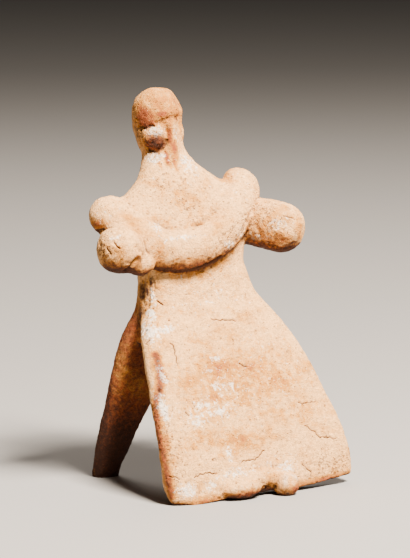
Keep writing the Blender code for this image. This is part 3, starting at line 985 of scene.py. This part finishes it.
def centre_over_origin(mesh):
    """Shift the skin level, until the middle of its width and depth is over the origin."""
    for axis in (0, 1):
        places = [vert.co[axis] for vert in mesh.verts]
        middle = (min(places) + max(places)) / 2
        for vert in mesh.verts:
            vert.co[axis] -= middle


def loose_flaps(mesh):
    """Faces that lie back to back or, where there are none, faces that hang by one edge."""
    facing = {}
    for face in mesh.faces:
        facing.setdefault(frozenset(face.verts), []).append(face)
    doubled = [face for faces in facing.values() if len(faces) > 1 for face in faces]
    return doubled or [face for face in mesh.faces if sum(edge.is_boundary for edge in face.edges) > 1]


def trim_flaps(mesh):
    """Remove the skin's loose flaps, then close the small holes they leave."""
    flaps = loose_flaps(mesh)
    while flaps:
        bmesh.ops.delete(mesh, geom=flaps, context="FACES")
        flaps = loose_flaps(mesh)
    bmesh.ops.holes_fill(mesh, edges=[edge for edge in mesh.edges if edge.is_boundary])


def stand_up(mesh):
    """Turn the skin to metres and lean it, cut it flat where it meets the ground, and centre it."""
    lean = Matrix.Rotation(-LEAN, 4, "Y")
    place = Matrix.Translation((0.0, 0.0, LIFT * MM)) @ lean @ Matrix.Scale(MM, 4)
    bmesh.ops.transform(mesh, matrix=place, verts=mesh.verts)
    trim_flaps(mesh)
    everything = mesh.verts[:] + mesh.edges[:] + mesh.faces[:]
    bmesh.ops.bisect_plane(mesh, geom=everything, plane_co=(0, 0, 0), plane_no=(0, 0, 1), clear_inner=True)
    at_cut = [vert for vert in mesh.verts if vert.co.z < WELD_DISTANCE * MM]
    bmesh.ops.remove_doubles(mesh, verts=at_cut, dist=WELD_DISTANCE * MM)
    bmesh.ops.holes_fill(mesh, edges=[edge for edge in mesh.edges if edge.is_boundary])
    bmesh.ops.triangulate(mesh, faces=mesh.faces)
    bmesh.ops.recalc_face_normals(mesh, faces=mesh.faces)
    centre_over_origin(mesh)


def figurine(material):
    """The whole figurine as one finished mesh object, with its stain, painted shade and painted highlight
    values stored on its vertices.
    """
    skin = roughened(plain_skin(), material)
    bmesh.ops.triangulate(skin, faces=skin.faces)
    skin = with_modifier(skin, "DECIMATE", ratio=min(1.0, TARGET_TRIANGLES / len(skin.faces)))
    mark(skin)
    places = np.array([vert.co for vert in skin.verts])
    # Painted shade: downward faces and broad hollows are darkened through the rust and soot values.
    downward = np.clip([-vert.normal.z for vert in skin.verts], 0.0, 1.0)
    broad_shade = hollowness(skin, *BROAD_CREVICE_SHADE)
    rust_and_shade = patchiness(places, (*RUST_AND_SHADE, *smear(EDGE_LINE, EDGE_HALF_WIDTH, EDGE_RUST)))
    soot_and_shade = patchiness(places, (*SOOT_AND_SHADE, *smear(EDGE_LINE, EDGE_HALF_WIDTH, EDGE_SOOT)))
    stains_and_painted_light = {
        # Painted shade in the fine hollows and a painted highlight on the convex rims.
        "crevice_shade": hollowness(skin, *FINE_CREVICE_SHADE),
        "rim_highlight": hollowness(skin, *RIM_HIGHLIGHT),
        "crust": patchiness(places, CRUST),
        "rust_and_shade": np.maximum.reduce((rust_and_shade, UNDERSIDE_SHADE_RUST * downward, broad_shade)),
        "soot_and_shade": np.maximum.reduce((soot_and_shade, UNDERSIDE_SHADE_SOOT * downward, BROAD_SHADE_SOOT * broad_shade)),
        "rough": np.clip(patchiness(places, ROUGH), 0.0, 1.0),
    }
    for name, values in stains_and_painted_light.items():
        layer = skin.verts.layers.float.new(name)
        for vert, value in zip(skin.verts, values):
            vert[layer] = value
    stand_up(skin)
    for face in skin.faces:
        face.smooth = True
    for edge in skin.edges:
        edge.smooth = not all(abs(vert.co.z) < WELD_DISTANCE * MM for vert in edge.verts)
    mesh = bpy.data.meshes.new("terracotta_figurine")
    skin.to_mesh(mesh)
    skin.free()
    mesh.materials.append(material)
    piece = bpy.data.objects.new("terracotta_figurine", mesh)
    bpy.context.collection.objects.link(piece)
    return piece


# Colours of the clay, of what burial left on it, and of the painted shade and highlight.
CREAM = "#E9B06E"
TAN = "#C27F2C"
PALE = "#F3DFC6"
RUSTY = "#94491E"
BROWN = "#3E1F0E"
EARTH = "#70401F"

# Noise patterns: size in millimetres, detail, roughness and distortion of each. Grit, specks and tooth
# are a little coarser than the clay's own, so that they show.
PATTERNS = {
    "mottle": (9.0, 5.0, 0.6, 0.4),
    "blotch": (2.0, 6.0, 0.72, 0.3),
    "flake": (1.1, 5.0, 0.7, 0.2),
    "grit": (1.0, 5.0, 0.8, 0.0),
    "speck": (0.8, 2.0, 0.5, 0.0),
    "tooth": (0.6, 4.0, 0.7, 0.0),
}
MOTTLE_SPAN = (0.45, 0.78)
GRIT_SPAN = (0.3, 0.7)
GRIT_SHADES = (0.5, 1.32)

# Marks of a wet hand wiped across: their length, and their spacing up and down, in millimetres.
WIPE_LENGTH = 6.0
WIPE_SPACING = 1.0
WIPE_DETAIL = 3.0
WIPE_STRENGTH = 0.22

# What lies over the clay, with painted highlight on the rims and painted shade in the hollows, on
# undersides and on the rear legs: stain, the pattern that breaks it up and how much, the level where it
# starts and the one where it is full, colour.
STAINS_AND_PAINTED_LIGHT_OVER_CLAY = (
    # Painted highlight on the rims.
    ("rim_highlight", "flake", 1.0, 0.3, 1.4, PALE),
    # Rust, with painted shade on undersides, broad hollows and rear legs.
    ("rust_and_shade", "blotch", 2.6, 0.08, 0.72, TAN),
    ("rust_and_shade", "blotch", 1.5, 0.56, 1.15, RUSTY),
    ("crust", "flake", 3.4, 0.45, 1.05, PALE),
    # Soot, with painted shade on undersides, broad hollows, rear legs, under the cap's rim and under the
    # arm.
    ("soot_and_shade", "flake", 1.6, 0.25, 1.05, BROWN),
    # Painted shade in the fine hollows.
    ("crevice_shade", "flake", 0.5, 0.3, 1.25, BROWN),
    ("dark", "flake", 0.3, 0.30, 0.95, BROWN),
)

# Sand and soil specks, then the tooth of the clay and how dull it is.
SPECK_SPAN = (0.64, 0.76)
SPECK_CROWDING = 0.1
SPECK_STRENGTH = 0.6
TOOTH_HEIGHT = 0.6
ROUGHNESS_SPAN = (0.84, 0.97)
CLAY_SHEEN = 0.3


def clay_patterns(tree):
    """The noise patterns by name, with the streaks that a wet hand left across the clay."""
    place = add(tree, "ShaderNodeTexCoord").outputs["Object"]
    pattern = {}
    for name, (size, detail, roughness, distortion) in PATTERNS.items():
        sockets = {
            "Vector": place, "Scale": 1.0 / (size * MM), "Detail": detail,
            "Roughness": roughness, "Distortion": distortion,
        }
        pattern[name] = add(tree, "ShaderNodeTexNoise", sockets).outputs[0]
    stretch = Vector((1.0 / WIPE_LENGTH, 1.0 / WIPE_LENGTH, 1.0 / WIPE_SPACING)) / MM
    across = add(tree, "ShaderNodeMapping", {"Vector": place, "Scale": stretch}).outputs[0]
    sockets = {"Vector": across, "Scale": 1.0, "Detail": WIPE_DETAIL}
    pattern["wiped"] = add(tree, "ShaderNodeTexNoise", sockets).outputs[0]
    return pattern


def sand_specks(tree, pattern):
    """How much of a dark speck each place is, thicker where the skin is rough."""
    rough = add(tree, "ShaderNodeAttribute", attribute_name="rough").outputs["Fac"]
    sockets = {0: rough, 1: SPECK_CROWDING, 2: pattern["speck"]}
    crowded = add(tree, "ShaderNodeMath", sockets, operation="MULTIPLY_ADD").outputs[0]
    sockets = {
        "Value": crowded, "From Min": SPECK_SPAN[0], "From Max": SPECK_SPAN[1],
        "To Max": SPECK_STRENGTH,
    }
    return add(tree, "ShaderNodeMapRange", sockets, interpolation_type="SMOOTHSTEP").outputs[0]


def clay_colour(tree, pattern, speck):
    """Mottled and streaked clay, what lies over it with its painted shade and highlight, its specks and the
    shading of its grit.
    """
    wipe = add(tree, "ShaderNodeMath", {0: pattern["wiped"], 1: 0.5}, operation="SUBTRACT").outputs[0]
    sockets = {0: wipe, 1: WIPE_STRENGTH, 2: pattern["mottle"]}
    mottle = add(tree, "ShaderNodeMath", sockets, operation="MULTIPLY_ADD").outputs[0]
    sockets = {"Value": mottle, "From Min": MOTTLE_SPAN[0], "From Max": MOTTLE_SPAN[1]}
    share = add(tree, "ShaderNodeMapRange", sockets, interpolation_type="SMOOTHSTEP").outputs[0]
    sockets = {0: share, 6: linear(CREAM), 7: linear(TAN)}
    colour = add(tree, "ShaderNodeMix", sockets, data_type="RGBA").outputs[2]
    for name, breaker, breaking, low, high, paint in STAINS_AND_PAINTED_LIGHT_OVER_CLAY:
        broken = add(tree, "ShaderNodeMath", {0: pattern[breaker], 1: 0.5}, operation="SUBTRACT").outputs[0]
        stain = add(tree, "ShaderNodeAttribute", attribute_name=name).outputs["Fac"]
        sockets = {0: broken, 1: breaking, 2: stain}
        amount = add(tree, "ShaderNodeMath", sockets, operation="MULTIPLY_ADD").outputs[0]
        sockets = {"Value": amount, "From Min": low, "From Max": high}
        share = add(tree, "ShaderNodeMapRange", sockets, interpolation_type="SMOOTHSTEP").outputs[0]
        sockets = {0: share, 6: colour, 7: linear(paint)}
        colour = add(tree, "ShaderNodeMix", sockets, data_type="RGBA").outputs[2]
    sockets = {0: speck, 6: colour, 7: linear(EARTH)}
    colour = add(tree, "ShaderNodeMix", sockets, data_type="RGBA").outputs[2]
    sockets = {
        "Value": pattern["grit"], "From Min": GRIT_SPAN[0], "From Max": GRIT_SPAN[1],
        "To Min": GRIT_SHADES[0], "To Max": GRIT_SHADES[1],
    }
    shade = add(tree, "ShaderNodeMapRange", sockets).outputs[0]
    return add(tree, "ShaderNodeVectorMath", {0: colour, "Scale": shade}, operation="SCALE").outputs[0]


def fired_terracotta():
    """Low-fired earthenware, smoothed wet by hand and never glazed.

    Dead matt and a little chalky: cream skin over an orange body, reddish where it is thin or rubbed,
    white lime crust in patches and sand specks all over; painted brown shade in the hollows, on undersides
    and down the rear legs, and a painted pale highlight on the rims.
    """
    clay = bpy.data.materials.new("fired_terracotta")
    clay.use_nodes = True
    tree = clay.node_tree
    tree.nodes.clear()
    pattern = clay_patterns(tree)
    speck = sand_specks(tree, pattern)
    sockets = {0: pattern["wiped"], 1: 0.5, 2: pattern["tooth"]}
    relief = add(tree, "ShaderNodeMath", sockets, operation="MULTIPLY_ADD").outputs[0]
    sunk = add(tree, "ShaderNodeMath", {0: relief, 1: speck}, operation="SUBTRACT").outputs[0]
    bump = add(tree, "ShaderNodeBump", {"Height": sunk, "Strength": 1.0, "Distance": TOOTH_HEIGHT * MM})
    sockets = {"Value": pattern["blotch"], "To Min": ROUGHNESS_SPAN[0], "To Max": ROUGHNESS_SPAN[1]}
    sockets = {
        "Base Color": clay_colour(tree, pattern, speck),
        "Roughness": add(tree, "ShaderNodeMapRange", sockets).outputs[0],
        "Specular IOR Level": CLAY_SHEEN,
        "Normal": bump.outputs[0],
    }
    shader = add(tree, "ShaderNodeBsdfPrincipled", sockets)
    add(tree, "ShaderNodeOutputMaterial", {"Surface": shader.outputs[0]})
    return clay


def plain_floor():
    """A wide matt disc of pale paper for the figurine to stand on."""
    disc = bmesh.new()
    bmesh.ops.create_circle(disc, cap_ends=True, segments=FLOOR_SIDES, radius=FLOOR_RADIUS)
    mesh = bpy.data.meshes.new("floor")
    disc.to_mesh(mesh)
    disc.free()
    paper = bpy.data.materials.new("pale_paper")
    paper.use_nodes = True
    shader = paper.node_tree.nodes["Principled BSDF"]
    shader.inputs["Base Color"].default_value = linear(FLOOR_COLOUR)
    shader.inputs["Roughness"].default_value = FLOOR_ROUGHNESS
    mesh.materials.append(paper)
    floor = bpy.data.objects.new("floor", mesh)
    bpy.context.collection.objects.link(floor)


def aimed(name, data, azimuth, elevation, distance):
    """A lamp or camera that faces the figurine's middle; azimuth 0 is in front of it."""
    level = math.cos(elevation)
    back = Vector((math.sin(azimuth) * level, -math.cos(azimuth) * level, math.sin(elevation)))
    thing = bpy.data.objects.new(name, data)
    bpy.context.collection.objects.link(thing)
    thing.location = Vector(CAMERA_TARGET) + back * distance
    thing.rotation_euler = back.to_track_quat("Z", "Y").to_euler()
    return thing


def camera():
    """The camera at the photograph's place, with a long lens."""
    data = bpy.data.cameras.new("camera")
    data.lens = CAMERA_LENS
    data.sensor_width = CAMERA_SENSOR
    data.clip_start = CAMERA_NEAR
    eye = aimed("camera", data, CAMERA_AZIMUTH, CAMERA_ELEVATION, CAMERA_DISTANCE)
    bpy.context.scene.camera = eye


def soft_box(name, azimuth, elevation, distance, width, power, colour):
    """A square soft light."""
    data = bpy.data.lights.new(name, "AREA")
    data.size = width
    data.energy = power
    data.color = linear(colour)[:3]
    aimed(name, data, azimuth, elevation, distance)


def room_light():
    """Even pale light from all round."""
    world = bpy.data.worlds.new("room")
    bpy.context.scene.world = world
    world.use_nodes = True
    sky = world.node_tree.nodes["Background"]
    sky.inputs["Color"].default_value = linear(ROOM_COLOUR)
    sky.inputs["Strength"].default_value = ROOM_LIGHT


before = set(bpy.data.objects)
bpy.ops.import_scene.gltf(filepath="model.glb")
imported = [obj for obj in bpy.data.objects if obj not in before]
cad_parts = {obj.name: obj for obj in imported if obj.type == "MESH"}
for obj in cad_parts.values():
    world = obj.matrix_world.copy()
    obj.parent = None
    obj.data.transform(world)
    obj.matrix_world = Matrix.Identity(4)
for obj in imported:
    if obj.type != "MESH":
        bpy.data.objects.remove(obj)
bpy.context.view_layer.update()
piece = figurine(fired_terracotta())
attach(piece, "root")
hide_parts("figurine")
plain_floor()
camera()
soft_box("key_light", *KEY_LIGHT)
soft_box("fill_light", *FILL_LIGHT)
soft_box("rim_light", *RIM_LIGHT)
room_light()
